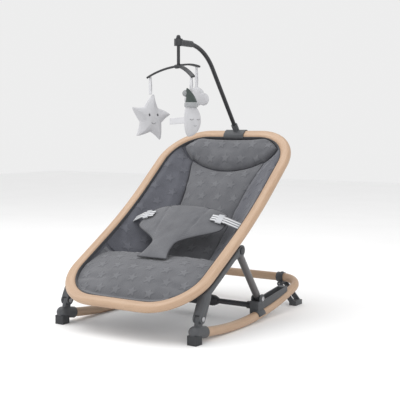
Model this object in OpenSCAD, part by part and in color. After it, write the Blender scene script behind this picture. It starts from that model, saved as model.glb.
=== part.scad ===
// Baby bouncer seat: a wood ring with a padded cloth seat, hinged on a rocking base that folds flat.
// Millimetres. +Z is up, +Y points from the child's feet to the head, X runs across the seat.
// The origin is on the floor, in the middle of the whole seat's length and width.

/* [Base] */
// Half the distance between the axes of the two runners
base_half_w = 218; // [180:1:280]
// Diameter of the bent rod that makes the runners and the rear bar
rod_d = 25; // [20:1:30]
// Radius of the rocking curve, on the rod's axis
rocker_r = 1074; // [850:1:1400]
// Distance from the front feet back to the lowest point of the runners
rocker_low = 201; // [160:1:240]
// Distance from the front feet back to where the rear corners start
runner_len = 521; // [500:1:640]
// Radius of the two rear corners
corner_r = 64; // [50:1:76]

/* [Front feet] */
// Width of each square rubber foot
foot_w = 27; // [22:1:32]
// Wall of the moulded elbow round the rod's end
elbow_wall = 3; // [2.5:0.5:5]
// Length of rod that the elbow covers
elbow_len = 46; // [36:1:60]
// Distance of the leg pivot behind the front feet
leg_pivot_y = 20; // [16:1:24]
// Height of the leg pivot above the floor
leg_pivot_z = 62; // [58:1:72]

/* [Seat ring] */
// Length of the ring along its slope, on its axis
ring_len = 736; // [610:1:890]
// Width of the ring's section, in the plane of the ring
ring_w = 31; // [26:1:36]
// Thickness of the ring's section
ring_t = 22; // [18:1:26]
// Corner radius at the foot end, on the axis
ring_foot_r = 130; // [100:1:150]
// Corner radius at the head end, on the axis
ring_head_r = 126; // [100:1:150]
// Slope of the foot end of the ring
ring_tilt = 31; // [26:0.5:36]
// Extra slope of the head end
ring_bend = 9; // [4:0.5:14]
// Distance from the foot end to where the bend starts
bend_start = 257; // [230:1:310]
// Height of the foot end's axis above the floor
ring_foot_z = 87; // [80:1:100]
// How far the foot end stands in front of the front feet
ring_foot_out = 42; // [30:1:60]

/* [Legs and struts] */
// Width of the leg moulding, across the seat
leg_w = 24; // [20:1:28]
// Depth of the leg where it stands up from the elbow
leg_d = 25; // [20:1:28]
// Depth of the leg arm that runs under the ring
arm_d = 14; // [11:1:18]
// Place of the hub along the ring
hub_along = 283; // [255:1:320]
// Drop of the hub's axis below the ring's axis
hub_drop = 27; // [25:1:32]
// Outer diameter of the steel strut
strut_d = 20; // [16:1:22]
// Length of the strut between its two pivots
strut_len = 185; // [165:1:215]
// Angle of the strut below the horizontal
strut_slope = 53; // [48:0.5:58]
// Diameter of the hub and leg pivot pins
pin_d = 8; // [6:0.5:10]

/* [Rails and crossbar] */
// Wall of the rail
rail_wall = 3; // [2.5:0.5:4]
// How far each rail reaches behind the strut's folded foot
rail_over = 26; // [16:1:40]
// Diameter of the crossbar
bar_d = 15; // [12:1:18]
// Diameter of the turning release grip
grip_d = 30; // [26:1:36]
// Length of the release grip's body
grip_len = 140; // [110:1:180]

/* [Stands] */
// Distance of each rear stand's pivot from the middle
stand_x = 152; // [120:1:154]
// How far each stand's foot reaches out past its pivot
stand_reach = 46; // [35:1:50]
// Thickness of each stand arm
stand_arm = 5; // [4:0.5:7]

/* [Soft seat] */
// Depth of the seat's crease below the ring
sling_depth = 92; // [75:1:110]
// Place of the crease along the ring
crease_along = 292; // [250:1:340]
// Thickness of the sling cloth with its lining
sling_t = 3; // [2:0.5:5]
// Thickness of the padded back
back_pad_t = 15; // [10:1:22]
// Thickness of the head pillow
pillow_t = 27; // [18:1:34]
// Thickness of the waist panel
waist_t = 9; // [6:1:12]

/* [Mobile] */
// Height of the mobile's bow above the clamp
bow_rise = 241; // [200:1:300]
// Forward reach of the mobile's bow
bow_reach = 310; // [240:1:360]
// Diameter of the bow
bow_d = 12.5; // [9:0.5:14]
// Length of the post under the bow's end
post_len = 62; // [45:1:80]
// Length of each hanger arm
hanger_arm = 93; // [75:1:110]
// Height of the star toy
star_h = 124; // [100:1:150]
// Height of the moon toy
moon_h = 92; // [76:1:110]

/* [Hidden] */
$fn = 48;
// which sub-part to draw, or all of them

gap = 0.3;          // clearance between parts that turn or slide on each other
pin_gap = 0.05;     // radial clearance of a pin in its bore
wood = "burlywood";
plastic = "dimgray";
steel = "gray";
cloth = "slategray";
plush = "whitesmoke";

// ---- side geometry of the base ----
rod_r = rod_d / 2;
rail_x = base_half_w - 6;
ring_half_w = base_half_w - 4;
rod_front_y = 14;
front_swing = asin((rocker_low - rod_front_y) / rocker_r);
rear_swing = asin((runner_len - rocker_low) / rocker_r);
rocker_cz = rod_r + rocker_r;
function rod_z(y) = rocker_cz - sqrt(rocker_r * rocker_r - pow(y - rocker_low, 2));
corner_z = rod_z(runner_len);
bar_y = runner_len + corner_r * cos(rear_swing);
bar_z = corner_z + corner_r * sin(rear_swing);
elbow_r = rod_r + elbow_wall;
elbow_z = rod_z(0);

// ---- side curve of the ring: two straight runs joined by one long arc ----
bend_len = 250;
bend_r = bend_len / (ring_bend * PI / 180);
bend_end = bend_start + bend_len;
function ring_ang(v) = ring_tilt + ring_bend * min(max((v - bend_start) / bend_len, 0), 1);
function along(p, a, d) = [p[0] + d * cos(a), p[1] + d * sin(a)];
ring_p0 = [-ring_foot_out, ring_foot_z];
ring_p1 = along(ring_p0, ring_tilt, bend_start);
bend_c = along(ring_p1, ring_tilt + 90, bend_r);
ring_p2 = along(bend_c, ring_tilt + ring_bend - 90, bend_r);
// point [y, z] at distance v along the ring and n above its plane
function ring_at(v, n) = let (a = ring_ang(v))
    v < bend_start ? along(along(ring_p0, ring_tilt, v), a + 90, n)
    : v < bend_end ? along(bend_c, a - 90, bend_r - n)
    : along(along(ring_p2, a, v - bend_end), a + 90, n);
ring_head = ring_at(ring_len, 0);
head_tilt = ring_tilt + ring_bend;

// ---- the four-bar side linkage ----
leg_a = [leg_pivot_y, leg_pivot_z];
hub_b = ring_at(hub_along, -hub_drop);
strut_c = along(hub_b, -strut_slope, strut_len);
strut_ratio = 2.55; // turn of the strut on the hub for each turn of the seat
fold_limit = 33;    // turn of the seat from the raised to the folded place
function turned(p, a) = [p[0] * cos(a) - p[1] * sin(a), p[0] * sin(a) + p[1] * cos(a)];
function foot_path(t) = leg_a + turned(hub_b - leg_a, -t)
    + turned(strut_c - hub_b, (strut_ratio - 1) * t);
folded_c = foot_path(fold_limit);

// ---- place of the origin: middle of the overall length, on the floor ----
stand_gap = rod_r + 3;
front_end = -ring_foot_out - (ring_w - ring_t) / 2 * cos(ring_tilt) - ring_t / 2;
rear_end = bar_y + stand_gap + stand_arm;
origin_y = (front_end + rear_end) / 2;

// ---- small helpers ----
module placed() { translate([0, -origin_y, 0]) children(); }
module left() { mirror([1, 0, 0]) children(); }
// 2D outline in [y, z], given a width across the seat from x0 to x1
module across(x0, x1) { translate([x0, 0, 0]) rotate([90, 0, 90]) linear_extrude(x1 - x0) children(); }
module pin_x(p, x0, x1, d) { across(x0, x1) translate(p) circle(d = d); }
module stadium(w, t) {
    square([w - t, t], center = true);
    for (s = [-1, 1]) translate([s * (w - t) / 2, 0]) circle(d = t);
}
module bent(r, a) { rotate_extrude(angle = a) translate([r, 0]) children(); }
// flat bar outline from point p to point q, with round ends
module link(p, q, d) {
    v = q - p;
    translate(p) rotate(atan2(v[1], v[0])) {
        translate([0, -d / 2]) square([norm(v), d]);
        circle(d = d);
        translate([norm(v), 0]) circle(d = d);
    }
}
// closed solid between two grids of points with the same rows and columns
module grid_solid(low, high) {
    rows = len(low);
    cols = len(low[0]);
    all = rows * cols;
    function at(i, j) = i * cols + j;
    edge = concat([for (j = [0:cols - 1]) at(0, j)], [for (i = [1:rows - 1]) at(i, cols - 1)],
        [for (j = [cols - 2:-1:0]) at(rows - 1, j)], [for (i = [rows - 2:-1:1]) at(i, 0)]);
    cells = [for (i = [0:rows - 2], j = [0:cols - 2]) [at(i, j), at(i, j + 1), at(i + 1, j), at(i + 1, j + 1)]];
    polyhedron(
        points = [for (grid = [low, high], row = grid, p = row) p],
        faces = concat(
            [for (c = cells, f = [[c[0], c[1], c[2]], [c[1], c[3], c[2]]]) f],
            [for (c = cells, f = [[c[0], c[2], c[1]], [c[1], c[2], c[3]]]) [for (k = f) k + all]],
            [for (k = [0:len(edge) - 1], f = let (a = edge[k], b = edge[(k + 1) % len(edge)])
                [[a, a + all, b], [b, a + all, b + all]]) f]));
}

// closed solid through a row of outlines, which joins up with itself when it is a loop
module swept(rows, loop = false) {
    n = len(rows[0]);
    m = len(rows);
    faces = [for (i = [0:loop ? m - 1 : m - 2], j = [0:n - 1], f = let (k = (i + 1) % m, l = (j + 1) % n,
        a = i * n + j, b = i * n + l, c = k * n + j, d = k * n + l) [[a, c, b], [b, c, d]]) f];
    ends = [[for (j = [0:n - 1]) j], [for (j = [n - 1:-1:0]) (m - 1) * n + j]];
    polyhedron(points = [for (row = rows, p = row) p], faces = loop ? faces : concat(faces, ends));
}
// round outline of diameter d about point p, with one axis up and the tube running along run
function hoop(p, run, up, d, n) = let (side = cross(run, up))
    [for (i = [0:n - 1]) p + d / 2 * (up * cos(360 * i / n) + side * sin(360 * i / n))];
function span(a, b, n) = [for (i = [0:n]) a + (b - a) * i / n];

// ---- base ----
// the rod's axis from the right front end to the middle of the rear bar: [point, run, up]
rod_up = [0, -sin(rear_swing), cos(rear_swing)];
rod_out = [0, cos(rear_swing), sin(rear_swing)];
rod_sides = 20;
half_rod = concat(
    [for (a = span(-front_swing, rear_swing, 16)) [[base_half_w, rocker_low + rocker_r * sin(a),
        rocker_cz - rocker_r * cos(a)], [0, cos(a), sin(a)], [0, -sin(a), cos(a)]]],
    [for (b = span(9, 90, 9)) [[base_half_w - corner_r, runner_len, corner_z]
        + corner_r * ([cos(b), 0, 0] + sin(b) * rod_out), [-sin(b), 0, 0] + cos(b) * rod_out, rod_up]]);
module runner(d) {
    translate([base_half_w, rocker_low, rocker_cz]) rotate([90, 0, 90])
        rotate([0, 0, -90 - front_swing]) bent(rocker_r, front_swing + rear_swing) circle(d = d);
    translate([base_half_w, runner_len, corner_z]) rotate([rear_swing, 0, 0])
        translate([-corner_r, 0, 0]) bent(corner_r, 90) circle(d = d);
}
module base_rod() {
    right = [for (f = half_rod) hoop(f[0], f[1], f[2], rod_d, rod_sides)];
    left = [for (i = [len(half_rod) - 1:-1:0]) let (f = half_rod[i])
        hoop([-f[0][0], f[0][1], f[0][2]], [f[1][0], -f[1][1], -f[1][2]], f[2], rod_d, rod_sides)];
    color(wood) placed() swept(concat(right, left));
}

tongue_t = 12;
tongue_r = 10;
// moulded front elbow: sleeve on the rod's end, with a tongue that the leg's fork straddles
module elbow_shape(grow) {
    translate([base_half_w, 0, elbow_z]) rotate([-front_swing, 0, 0]) {
        sphere(r = elbow_r + grow);
        rotate([-90, 0, 0]) cylinder(r = elbow_r + grow, h = elbow_len);
    }
}
module elbow() {
    color(plastic) placed() difference() {
        union() {
            elbow_shape(0);
            across(base_half_w - tongue_t / 2, base_half_w + tongue_t / 2)
                link([leg_a[0] - 6, elbow_z], leg_a, 2 * tongue_r);
        }
        runner(rod_d + 2 * pin_gap);
        pin_x(leg_a, base_half_w - tongue_t, base_half_w + tongue_t, pin_d + 2 * pin_gap);
    }
}
module elbow_right() { elbow(); }
module elbow_left() { left() elbow(); }

foot_top = 24;
module foot() {
    color("darkslategray") placed() difference() {
        translate([base_half_w - foot_w / 2, -foot_w / 2, 0]) cube([foot_w, foot_w, foot_top]);
        elbow_shape(0);
    }
}
module foot_right() { foot(); }
module foot_left() { left() foot(); }

pin_head_h = 1.6;
module leg_pin() {
    pin_x(leg_a, base_half_w - leg_w / 2, base_half_w + leg_w / 2, pin_d);
    for (s = [-1, 1]) translate([base_half_w + s * (leg_w + pin_head_h + 2 * gap) / 2, 0, 0])
        pin_x(leg_a, -pin_head_h / 2, pin_head_h / 2, pin_d + 4);
}
module leg_pins() {
    color("lightgray") placed() { leg_pin(); left() leg_pin(); }
}

// ---- rails: an open channel on each runner that the strut's foot slides back along ----
slot_w = strut_d + 1.2;
rail_in = rail_x - slot_w / 2 - rail_wall;
rail_out = rail_x + slot_w / 2 + rail_wall;
rail_front = strut_c[0] - 22;
rail_back = folded_c[0] + rail_over;
rail_top_front = strut_c[1] - 5;
rail_top_back = folded_c[1] + 2;
ear_r = 13;
foot_r = strut_d / 2;
lock_d = 8;
bar_drop = foot_r + bar_d / 2 + 3.5;
bar_c = strut_c - [0, bar_drop];
screw_d = 4;
screw_ys = [strut_c[0] + 30, strut_c[0] + 66];
path_steps = 24;
path = [for (i = [0:path_steps]) foot_path(fold_limit * i / path_steps)];
foot_room = foot_r + 0.8;
channel_end = folded_c[0] + foot_room;
// the channel's floor is the lowest that the strut's round foot reaches at each place
function floor_z(y) = min([for (p = path) p[1] - sqrt(max(0, foot_room * foot_room - pow(y - p[0], 2)))]);
floor_line = [for (y = span(strut_c[0], channel_end, 16)) [y, floor_z(y)]];
module channel_cut() {
    front = strut_c[0] - 17;
    above = strut_c[1] + 100;
    across(rail_x - slot_w / 2, rail_x + slot_w / 2) polygon(concat([[front, floor_line[0][1]]],
        floor_line, [[channel_end, above], [front, above]]));
}
saddle_len = 34;
// outline of the rail from the side, standing over above the rod's axis
module rail_side(over) {
    polygon(concat([for (y = span(rail_front, rail_back, 6)) [y, rod_z(y) + over]],
        [[rail_back, rail_top_back], [strut_c[0] + ear_r, rail_top_front], [rail_front, rail_top_front]]));
}
module rail() {
    saddle_y = rail_front - 5;
    slope = asin((saddle_y + saddle_len / 2 - rocker_low) / rocker_r);
    color(plastic) placed() difference() {
        union() {
            // the channel stands on the rod, with a skirt down its inner side
            across(rail_in, rail_out) rail_side(rod_r + 0.4);
            across(rail_in, base_half_w - rod_r - gap) rail_side(0);
            pin_x(strut_c, rail_in, rail_out, 2 * ear_r);
            translate([base_half_w, saddle_y, rod_z(saddle_y)]) rotate([slope - 90, 0, 0])
                intersection() {
                    cylinder(r = rod_r + 3.2, h = saddle_len);
                    translate([-2 * rod_r, -2 * rod_r, 0]) cube([4 * rod_r, 2 * rod_r, saddle_len]);
                }
        }
        translate([base_half_w, saddle_y, rod_z(saddle_y)]) rotate([slope - 90, 0, 0])
            translate([0, 0, -1]) cylinder(r = rod_r + 0.2, h = saddle_len + 2);
        channel_cut();
        pin_x(strut_c, rail_in - 1, rail_out + 1, lock_d + 4 * pin_gap);
        pin_x(bar_c, rail_in - 1, rail_x, bar_d + 2 * pin_gap);
        for (y = screw_ys) translate([rail_x, y, 0]) cylinder(d = screw_d + 2 * pin_gap, h = 100);
    }
}
module rail_right() { rail(); }
module rail_left() { left() rail(); }

function floor_at(y) = lookup(y, floor_line);
module rail_screw_pair() {
    for (y = screw_ys) translate([rail_x, y, rod_z(y) + 3])
        cylinder(d = screw_d, h = floor_at(y) - rod_z(y) - 4);
}
module rail_screws() {
    color(steel) placed() { rail_screw_pair(); left() rail_screw_pair(); }
}

bolt_head = 3;
module ear_bolt() {
    pin_x(strut_c, rail_x + slot_w / 2, rail_out, lock_d);
    pin_x(strut_c, rail_out, rail_out + bolt_head, lock_d + 5);
}
module ear_bolts() {
    color(steel) placed() { ear_bolt(); left() ear_bolt(); }
}

// ---- crossbar with the turning grip that draws both locks ----
module crossbar() {
    color("black") placed() pin_x(bar_c, -rail_x + 1, rail_x - 1, bar_d);
}
grip_cone = 12;
module release_grip() {
    color("black") placed() difference() {
        union() {
            pin_x(bar_c, -grip_len / 2, grip_len / 2, grip_d);
            for (s = [-1, 1]) translate([s * grip_len / 2, bar_c[0], bar_c[1]]) rotate([0, s * 90, 0])
                cylinder(d1 = grip_d, d2 = bar_d + 4, h = grip_cone);
            // ribs that stop the hand slipping
            for (a = [0:30:330]) pin_x(bar_c + grip_d / 2 * [cos(a), sin(a)],
                -grip_len / 2 + 6, grip_len / 2 - 6, 2);
        }
        pin_x(bar_c, -grip_len, grip_len, bar_d + 2 * gap);
    }
}
sleeve_len = 18;
module lock_slide() {
    sleeve_x = rail_in - 1 - sleeve_len;
    color("black") placed() {
        difference() {
            pin_x(bar_c, sleeve_x, sleeve_x + sleeve_len, bar_d + 6);
            pin_x(bar_c, sleeve_x - 1, rail_in, bar_d + 2 * gap);
        }
        across(rail_in - 5, rail_in - 1) difference() {
            link(bar_c, strut_c, 13);
            translate(bar_c) circle(d = bar_d + 4);
        }
        pin_x(strut_c, rail_in - 5, rail_x - slot_w / 2, lock_d);
    }
}
module lock_slide_right() { lock_slide(); }
module lock_slide_left() { left() lock_slide(); }

// ---- rear stands that stop the rocking ----
stand_z = bar_z - rod_r - 5.5;
stand_pin_d = 5;
collar_len = 22;
collar_side = 6.5;
collar_t = 2.5;
module stand_collar() {
    color(plastic) placed() difference() {
        union() {
            pin_x([bar_y, bar_z], stand_x + collar_side - collar_len, stand_x + collar_side,
                rod_d + 2 * collar_t);
            translate([stand_x - collar_side, bar_y - rod_r, stand_z])
                cube([2 * collar_side, rod_d, bar_z - stand_z]);
            translate([stand_x, bar_y - rod_r, stand_z]) rotate([-90, 0, 0]) cylinder(r = 5.5, h = rod_d);
            translate([stand_x, bar_y, bar_z + rod_r]) cylinder(d = 8, h = collar_t + 1.6);
        }
        pin_x([bar_y, bar_z], 0, 2 * stand_x, rod_d + 2 * pin_gap);
        translate([stand_x, bar_y - rod_d, stand_z]) rotate([-90, 0, 0])
            cylinder(d = stand_pin_d + 2 * pin_gap, h = 2 * rod_d);
    }
}
module stand_collar_right() { stand_collar(); }
module stand_collar_left() { left() stand_collar(); }
module stand_pin() {
    translate([stand_x, bar_y - stand_gap - stand_arm, stand_z]) rotate([-90, 0, 0])
        cylinder(d = stand_pin_d, h = 2 * (stand_gap + stand_arm));
}
module stand_pins() {
    color(steel) placed() { stand_pin(); left() stand_pin(); }
}
stand_foot_w = 23;
stand_foot_h = 14;
// U-shaped stand whose two arms straddle the rear bar
module stand() {
    color(plastic) placed() difference() {
        union() {
            for (s = [-1, 1]) translate([0, bar_y + s * (stand_gap + stand_arm / 2) + stand_arm / 2, 0])
                rotate([90, 0, 0]) linear_extrude(stand_arm) link(
                    [stand_x, stand_z], [stand_x + stand_reach - 2, stand_foot_h / 2 + 3], 15);
            translate([stand_x + stand_reach - stand_foot_w / 2, bar_y - stand_gap - stand_arm, 0])
                cube([stand_foot_w, 2 * (stand_gap + stand_arm), stand_foot_h]);
        }
        translate([stand_x, bar_y - rod_d - stand_arm, stand_z]) rotate([-90, 0, 0])
            cylinder(d = stand_pin_d + 4 * pin_gap, h = 2 * (rod_d + stand_arm));
        translate([stand_x, bar_y - 2 * rod_d, -20]) cube([100, 4 * rod_d, 20]);
    }
}
module stand_right() { stand(); }
module stand_left() { left() stand(); }

// ---- the bent wood ring ----
// the ring's axis round its right half, from foot to head: [x, along, outward x, outward along]
ring_turn = 10;
function ring_corner(r, v, from) = [for (b = span(from, from + 90, ring_turn))
    [ring_half_w - r + r * cos(b), v + r * sin(b), cos(b), sin(b)]];
half_ring = concat(ring_corner(ring_foot_r, ring_foot_r, -90),
    [for (v = span(bend_start, bend_end, 10)) [ring_half_w, v, 1, 0]],
    ring_corner(ring_head_r, ring_len - ring_head_r, 0));
// the rounded section's points: outward in the ring's plane, and above it
ring_section = [for (side = [0, 180], a = span(side - 90, side + 90, 8))
    [(side == 0 ? 1 : -1) * (ring_w - ring_t) / 2 + ring_t / 2 * cos(a), ring_t / 2 * sin(a)]];
module ring() {
    loop = concat(half_ring,
        [for (i = [len(half_ring) - 1:-1:0]) let (f = half_ring[i]) [-f[0], f[1], -f[2], f[3]]]);
    color(wood) placed() swept([for (f = loop) [for (q = ring_section)
        let (p = ring_at(f[1] + f[3] * q[0], q[1])) [f[0] + f[2] * q[0], p[0], p[1]]]], loop = true);
}

// ---- legs, hubs and struts ----
arm_n = -ring_t / 2 - arm_d / 2;
knee_along = 92;
knee = ring_at(knee_along, arm_n);
arm_stop = hub_along - 22;
module leg_shape() {
    across(base_half_w - leg_w / 2, base_half_w + leg_w / 2) {
        link(leg_a, knee - [0, (leg_d - arm_d) / 2], leg_d);
        link(knee, ring_at(arm_stop, arm_n), arm_d);
    }
}
module leg() {
    color(plastic) placed() difference() {
        leg_shape();
        // fork round the elbow's tongue
        pin_x(leg_a, base_half_w - tongue_t / 2 - gap, base_half_w + tongue_t / 2 + gap,
            leg_d + 1.4);
        pin_x(leg_a, 0, 2 * base_half_w, pin_d + 2 * pin_gap);
        // the ring's underside
        translate([0, ring_p0[0], ring_p0[1]]) rotate([ring_tilt, 0, 0])
            translate([0, 0, -ring_t / 2]) cube([2 * base_half_w, ring_len, 4 * ring_t]);
    }
}
module leg_right() { leg(); }
module leg_left() { left() leg(); }

hub_r = 15;
cheek = 3.5;
eye_half = strut_d / 2 + 0.4;
cheek_in = eye_half + gap;
hub_back = ring_at(hub_along - 34, arm_n);
module hub() {
    color(plastic) placed() difference() {
        union() {
            for (s = [-1, 1]) translate([s > 0 ? cheek_in : -cheek_in - cheek, 0, 0])
                across(rail_x, rail_x + cheek) {
                    link(hub_b, hub_back, 2 * hub_r - 8);
                    translate(hub_b) circle(r = hub_r);
                }
            across(rail_x - cheek_in, rail_x + cheek_in)
                link(hub_back, ring_at(hub_along - 26, arm_n - 6), 12);
        }
        leg_shape();
        translate([0, ring_p0[0], ring_p0[1]]) rotate([ring_tilt, 0, 0])
            translate([0, 0, -ring_t / 2]) cube([2 * base_half_w, ring_len, 4 * ring_t]);
        pin_x(hub_b, rail_x - 2 * strut_d, rail_x + 2 * strut_d, pin_d + 2 * pin_gap);
    }
}
module hub_right() { hub(); }
module hub_left() { left() hub(); }
module hub_pin() {
    side = cheek_in + cheek;
    pin_x(hub_b, rail_x - side, rail_x + side, pin_d);
    pin_x(hub_b, rail_x + side, rail_x + side + 2.6, 2 * hub_r - 10);
    pin_x(hub_b, rail_x - side - 1.2, rail_x - side, 2 * hub_r - 14);
}
module hub_pins() {
    color("black") placed() { hub_pin(); left() hub_pin(); }
}

tube_wall = 1.5;
foot_neck = 13;
// turns the Z axis down the strut, from the hub to its foot
module down_strut(s) {
    translate([rail_x, hub_b[0], hub_b[1]]) rotate([-90 - strut_slope, 0, 0])
        translate([0, 0, s]) children();
}
module strut() {
    color(steel) placed() difference() {
        union() {
            down_strut(0) cylinder(d = strut_d, h = strut_len - foot_neck);
            pin_x(hub_b, rail_x - eye_half, rail_x + eye_half, strut_d + 1.6);
        }
        down_strut(foot_r + 8) cylinder(d = strut_d - 2 * tube_wall, h = strut_len);
        pin_x(hub_b, rail_x - strut_d, rail_x + strut_d, pin_d + 2 * pin_gap);
    }
}
module strut_right() { strut(); }
module strut_left() { left() strut(); }
// ball foot that runs in the rail, on a plug inside the tube
module strut_foot() {
    color("black") placed() {
        translate([rail_x, strut_c[0], strut_c[1]]) sphere(d = strut_d);
        down_strut(strut_len - foot_neck) cylinder(d = strut_d - 2, h = foot_neck);
        down_strut(strut_len - foot_neck - 24)
            cylinder(d = strut_d - 2 * tube_wall - 2 * pin_gap, h = 28);
    }
}
module strut_foot_right() { strut_foot(); }
module strut_foot_left() { left() strut_foot(); }

// ---- cloth seat, drawn in the ring's own coordinates: across, along and above its plane ----
edge_in = ring_w / 2;
rim_n = -3;
function ring_point(x, v, n) = let (p = ring_at(v, n)) [x, p[0] - origin_y, p[1]];
// half the width inside the ring at distance v along it
function inside_w(v) =
    v < ring_foot_r ? ring_half_w - ring_foot_r
        + sqrt(max(0, pow(ring_foot_r - edge_in, 2) - pow(ring_foot_r - v, 2)))
    : v > ring_len - ring_head_r ? ring_half_w - ring_head_r
        + sqrt(max(0, pow(ring_head_r - edge_in, 2) - pow(v - ring_len + ring_head_r, 2)))
    : ring_half_w - edge_in;
function ramp(t) = let (c = min(max(t, 0), 1)) c * c * (3 - 2 * c);
// depth of the sling's underside along the middle of the seat
function depth_mid(v) = let (s = (v - edge_in) / (crease_along - edge_in),
        b = (v - crease_along) / (ring_len - edge_in - crease_along))
    sling_depth * (v < crease_along ? pow(max(0, sin(90 * s)), 0.8)
        : (1 - 0.66 * b) * pow(max(0, 1 - pow(max(b, 0), 9)), 0.5));
function sling_low(u, v) = rim_n - sling_t / 2
    - depth_mid(v) * pow(max(0, 1 - pow(abs(u), 3.2)), 0.6);
function sling_high(u, v) = sling_low(u, v) + sling_t;
module sling_patch(us, vs, low, high) {
    grid_solid([for (i = [0:len(vs) - 1]) [for (j = [0:len(us) - 1])
            ring_point(us[j] * inside_w(vs[i]), vs[i], low[i][j])]],
        [for (i = [0:len(vs) - 1]) [for (j = [0:len(us) - 1])
            ring_point(us[j] * inside_w(vs[i]), vs[i], high[i][j])]]);
}
function eased(a, b, n) = [for (i = [0:n]) a + (b - a) * (1 - cos(180 * i / n)) / 2];
module seat_sling() {
    us = eased(-1, 1, 18);
    vs = eased(edge_in, ring_len - edge_in, 26);
    color(cloth) sling_patch(us, vs, [for (v = vs) [for (u = us) sling_low(u, v)]],
        [for (v = vs) [for (u = us) sling_high(u, v)]]);
}
// a pad on the sling: round-edged, t thick in its middle
function plump(a, b, x) = let (s = abs(2 * (x - a) / (b - a) - 1)) pow(max(0, 1 - pow(s, 5)), 0.45);
module pad_on_sling(u0, u1, v0, v1, t, nu, nv) {
    us = eased(u0, u1, nu);
    vs = eased(v0, v1, nv);
    low = [for (v = vs) [for (u = us) sling_high(u, v) + pad_gap]];
    high = [for (v = vs) [for (u = us)
        sling_high(u, v) + pad_gap + pad_min + t * plump(u0, u1, u) * plump(v0, v1, v)]];
    sling_patch(us, vs, low, high);
}
pad_gap = 2.6;
pad_min = 1.5;
cushion_front = edge_in + 5;
cushion_back = crease_along - 58;
// top of the seat cushion, close to the plane of the ring
function cushion_top(u, v) = let (s = (v - cushion_front) / (cushion_back - cushion_front))
    max(sling_high(u, v) + pad_gap + pad_min,
        (2 + 9 * sin(150 * s)) - 26 * pow(s, 4) - 8 * pow(abs(u), 3)
            - 12 * pow(1 - min(s * 6, 1), 2));
module seat_cushion() {
    us = eased(-0.965, 0.965, 14);
    vs = eased(cushion_front, cushion_back, 14);
    color("gray") sling_patch(us, vs,
        [for (v = vs) [for (u = us) sling_high(u, v) + pad_gap]],
        [for (v = vs) [for (u = us) cushion_top(u, v)]]);
}
seam_u = 0.6;
back_front = crease_along - 40;
pillow_front = ring_len - 142;
module back_pad() {
    color("gray") pad_on_sling(-seam_u, seam_u, back_front, pillow_front - 3, back_pad_t, 12, 14);
}
module head_pillow() {
    color("gray") pad_on_sling(-seam_u - 0.08, seam_u + 0.08, pillow_front, ring_len - edge_in - 12,
        pillow_t, 12, 9);
}
module bolster(s) {
    a = seam_u + 0.02;
    b = 0.975;
    color("slategray") pad_on_sling(s > 0 ? a : -b, s > 0 ? b : -a, back_front - 6,
        pillow_front - 3, back_pad_t, 7, 14);
}
module bolster_right() { bolster(1); }
module bolster_left() { bolster(-1); }

// ---- waist panel with its two straps ----
waist_front = cushion_back - 46;
waist_run = 223;
waist_rise = 6;
crotch_w = 36;
wing_w = 140;
function waist_half(s) = crotch_w + 12 * pow(1 - min(s / 0.22, 1), 2)
    + (wing_w - crotch_w) * ramp((s - 0.27) / 0.42) - 12 * ramp((s - 0.86) / 0.14);
function waist_low(x, s) = cushion_top(0, waist_front) + 1.5 + waist_rise * s
    - 20 * pow(x / wing_w, 2) * s;
module waist_panel() {
    us = eased(-1, 1, 14);
    ss = span(0, 1, 14);
    color(cloth) grid_solid(
        [for (s = ss) [for (u = us) let (x = u * waist_half(s))
            ring_point(x, waist_front + waist_run * s, waist_low(x, s))]],
        [for (s = ss) [for (u = us) let (x = u * waist_half(s))
            ring_point(x, waist_front + waist_run * s, waist_low(x, s) + waist_t)]]);
}
strap_w = 25;
strap_t = 1.4;
strap_on = 0.8; // the straps' place along the panel, as a share of its length
strap_along = waist_front + strap_on * waist_run;
strap_lift = 2.6;
strap_edge = waist_half(strap_on) + 2;
function strap_spot(x) = [x, waist_low(x, strap_on) + waist_t + strap_lift];
strap_line = [strap_spot(strap_edge - 44), strap_spot(strap_edge),
    [inside_w(strap_along) - 16, sling_high(0.9, strap_along) + back_pad_t + 8]];
module in_ring(x, v, n) {
    p = ring_at(v, n);
    translate([x, p[0] - origin_y, p[1]]) rotate([ring_ang(v), 0, 0]) children();
}
module strap() {
    color("white") in_ring(0, strap_along, 0) rotate([90, 0, 0]) linear_extrude(strap_w, center = true)
        polygon([strap_line[0], strap_line[1], strap_line[2], strap_line[2] + [strap_t, 0],
            strap_line[1] + [strap_t / 2, strap_t], strap_line[0] + [0, strap_t]]);
}
module strap_right() { strap(); }
module strap_left() { left() strap(); }
buckle_w = 33;
buckle_t = 4;
module buckle() {
    run = strap_line[1] - strap_line[0];
    color("lightgray") in_ring(strap_line[0][0], strap_along, strap_line[0][1])
        rotate([0, -atan2(run[1], run[0]), 0]) translate([norm(run) * 0.6, 0, strap_t / 2]) difference() {
            translate([-9, -buckle_w / 2, -buckle_t / 2]) cube([18, buckle_w, buckle_t]);
            translate([-10, -strap_w / 2 - gap, -strap_t / 2 - 0.3])
                cube([20, strap_w + 2 * gap, strap_t + 0.6]);
        }
}
module buckle_right() { buckle(); }
module buckle_left() { left() buckle(); }

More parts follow.
